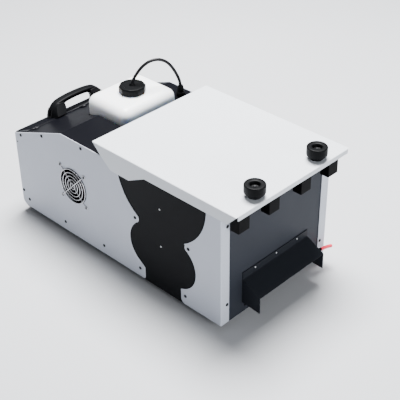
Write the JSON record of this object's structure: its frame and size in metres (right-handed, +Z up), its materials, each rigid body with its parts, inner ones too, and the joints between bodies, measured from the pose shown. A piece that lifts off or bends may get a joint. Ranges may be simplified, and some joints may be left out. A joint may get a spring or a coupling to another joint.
{
  "type": "fog machine",
  "caption": "Low-lying fog machine with a folded steel body, lift-up lid over an ice chamber, front fog hood, fluid tank with hose, side fan and carrying handle.",
  "frame": {"origin": "on the floor, under the middle of the machine's bounding box", "axes": "+Z up; -Y is the front, where the fog comes out under the hood; +X is to the right of someone who looks along +Y"},
  "size_m": [0.305, 0.6261, 0.3379],
  "materials": {
    "lid_paint": "satin",
    "white_paint": "satin",
    "black_paint": "fine matt texture",
    "roof_paint": "fine matt texture",
    "panel_paint": "satin",
    "black_plastic": "matt",
    "grey_plastic": "matt",
    "tank_plastic": "translucent",
    "rubber": "matt",
    "hose_rubber": "semi-gloss",
    "red_rubber": "semi-gloss",
    "foam": "open cell foam",
    "steel": "satin",
    "aluminium": "satin",
    "brass": "satin",
    "board": "lacquered",
    "display": "gloss"
  },
  "bodies": {
    "chassis": {"base_pan": "black_paint", "side_wall_left": "black_paint", "side_wall_right": "black_paint", "rear_cover_left": "white_paint", "rear_cover_right": "white_paint", "front_cover_left": "white_paint", "front_cover_right": "white_paint", "front_panel": "panel_paint", "rear_panel": "roof_paint", "roof_plate": "roof_paint", "bulkhead": "black_paint", "fog_hood": "black_paint", "lid_rest_rail": "black_plastic", "rubber_foot_1": "rubber", "rubber_foot_2": "rubber", "rubber_foot_3": "rubber", "rubber_foot_4": "rubber", "hinge_fixed_leaf": "steel", "ice_tub": "grey_plastic", "tub_seal": "foam", "ice_grid": "steel", "fog_duct": "aluminium", "drain_spout": "black_plastic", "drain_hose": "red_rubber", "heater_block": "aluminium", "nozzle": "brass", "heat_shield": "steel", "thermostat": "steel", "pump": "grey_plastic", "pump_hose": "hose_rubber", "feed_hose": "steel", "control_board": "board", "fan_frame": "black_plastic", "fan_guard": "steel", "tank_bay": "black_paint", "tank": "tank_plastic", "suction_hose": "hose_rubber", "intake_filter": "steel", "hose_gland": "black_plastic", "handle": "black_plastic", "display_bezel": "black_plastic", "display_window": "display", "rocker_frame": "black_plastic", "power_inlet": "black_plastic", "dmx_socket_plate": "grey_plastic"},
    "lid_body": {"lid": "lid_paint", "lid_foam": "foam", "hinge_moving_leaf": "steel"},
    "left_thumbscrew": {"thumbscrew_left": "black_plastic"},
    "right_thumbscrew": {"thumbscrew_right": "black_plastic"},
    "cap_body": {"tank_cap": "black_plastic"},
    "fan_body": {"fan_rotor": "black_plastic"},
    "rocker_body": {"rocker_switch": "black_plastic"},
    "fuse_body": {"fuse_cap": "black_plastic"},
    "button_1_body": {"menu_button_1": "grey_plastic"},
    "button_2_body": {"menu_button_2": "grey_plastic"},
    "button_3_body": {"menu_button_3": "grey_plastic"},
    "button_4_body": {"menu_button_4": "grey_plastic"}
  },
  "joints": [
    {"name": "lid_hinge", "type": "hinge", "parent": "chassis", "child": "lid_body", "pos_m": [0, 0.047, 0.263], "axis": [-1, 0, 0], "range_deg": [0, 100]},
    {"name": "left_thumbscrew_turn", "type": "hinge", "parent": "lid_body", "child": "left_thumbscrew", "pos_m": [-0.0833, -0.2875, 0.2731], "axis": [0, 0, 1], "continuous": true},
    {"name": "right_thumbscrew_turn", "type": "hinge", "parent": "lid_body", "child": "right_thumbscrew", "pos_m": [0.0833, -0.2875, 0.2731], "axis": [0, 0, 1], "continuous": true},
    {"name": "cap_unscrew", "type": "hinge", "parent": "chassis", "child": "cap_body", "pos_m": [0.03, 0.1395, 0.2902], "axis": [0, 0, 1], "range_deg": [0, 540]},
    {"name": "fan_spin", "type": "hinge", "parent": "chassis", "child": "fan_body", "pos_m": [-0.1332, 0.1263, 0.1386], "axis": [1, 0, 0], "continuous": true},
    {"name": "rocker_tilt", "type": "hinge", "parent": "chassis", "child": "rocker_body", "pos_m": [0.058, 0.3053, 0.062], "axis": [1, 0, 0], "range_deg": [0, 16]},
    {"name": "fuse_cap_turn", "type": "hinge", "parent": "chassis", "child": "fuse_body", "pos_m": [0.024, 0.3073, 0.06], "axis": [0, 1, 0], "range_deg": [0, 90]},
    {"name": "menu_button_1_press", "type": "slide", "parent": "chassis", "child": "button_1_body", "axis": [0, -1, 0], "range_m": [0, 0.0012], "stiffness_N_per_m": 400},
    {"name": "menu_button_2_press", "type": "slide", "parent": "chassis", "child": "button_2_body", "axis": [0, -1, 0], "range_m": [0, 0.0012], "stiffness_N_per_m": 400},
    {"name": "menu_button_3_press", "type": "slide", "parent": "chassis", "child": "button_3_body", "axis": [0, -1, 0], "range_m": [0, 0.0012], "stiffness_N_per_m": 400},
    {"name": "menu_button_4_press", "type": "slide", "parent": "chassis", "child": "button_4_body", "axis": [0, -1, 0], "range_m": [0, 0.0012], "stiffness_N_per_m": 400}
  ]
}
